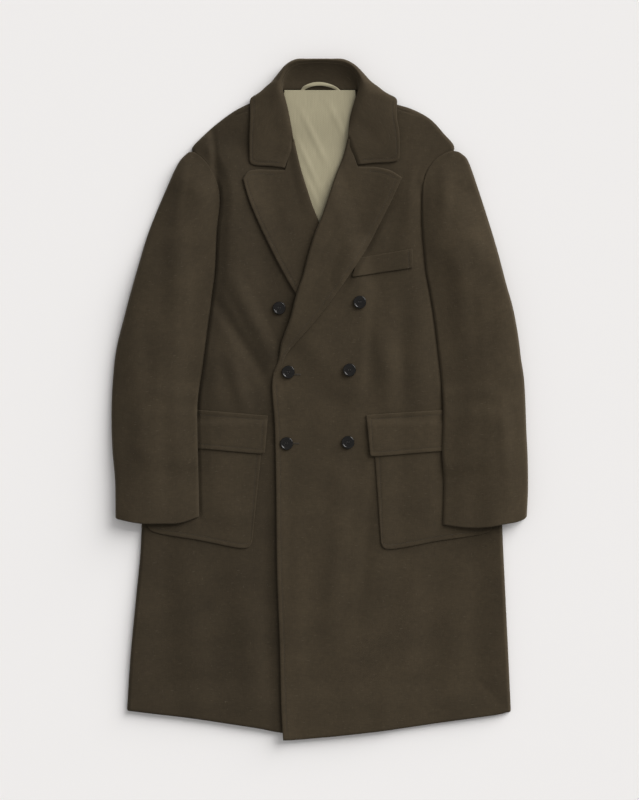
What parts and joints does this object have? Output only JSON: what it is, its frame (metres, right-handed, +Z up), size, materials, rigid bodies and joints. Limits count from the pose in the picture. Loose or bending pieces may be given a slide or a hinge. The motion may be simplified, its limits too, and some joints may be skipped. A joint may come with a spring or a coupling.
{
  "type": "double-breasted coat",
  "caption": "Long wool overcoat with peak lapels, patch pockets with flaps and a breast welt, buttoned and laid flat on its back with the sleeves beside the body",
  "frame": {"origin": "bottom centre of the bounding box, on the surface that the coat lies on", "axes": "+Y runs along the coat from hem to collar, +X from the wearer's right side to the left side, +Z up from the surface"},
  "size_m": [0.7307, 1.192, 0.023],
  "materials": {
    "wool": "dark olive-brown melton wool, matt and softly napped",
    "lining": "beige lining twill with a faint sheen",
    "buttons": "polished near-black horn look"
  },
  "bodies": {
    "root": {"back": "wool", "front_right": "wool", "front_left": "wool", "lapel_right": "wool", "lapel_left": "wool", "collar_fall": "wool", "collar_stand": "wool", "sleeve_top_right": "wool", "sleeve_under_right": "wool", "sleeve_top_left": "wool", "sleeve_under_left": "wool", "pocket_right": "wool", "pocket_left": "wool", "flap_right": "wool", "flap_left": "wool", "breast_welt": "wool", "lining_back": "lining", "hanger_loop": "lining", "button_top_right": "buttons", "button_top_left": "buttons", "button_middle_right": "buttons", "button_middle_left": "buttons", "button_bottom_right": "buttons", "button_bottom_left": "buttons"}
  },
  "joints": []
}
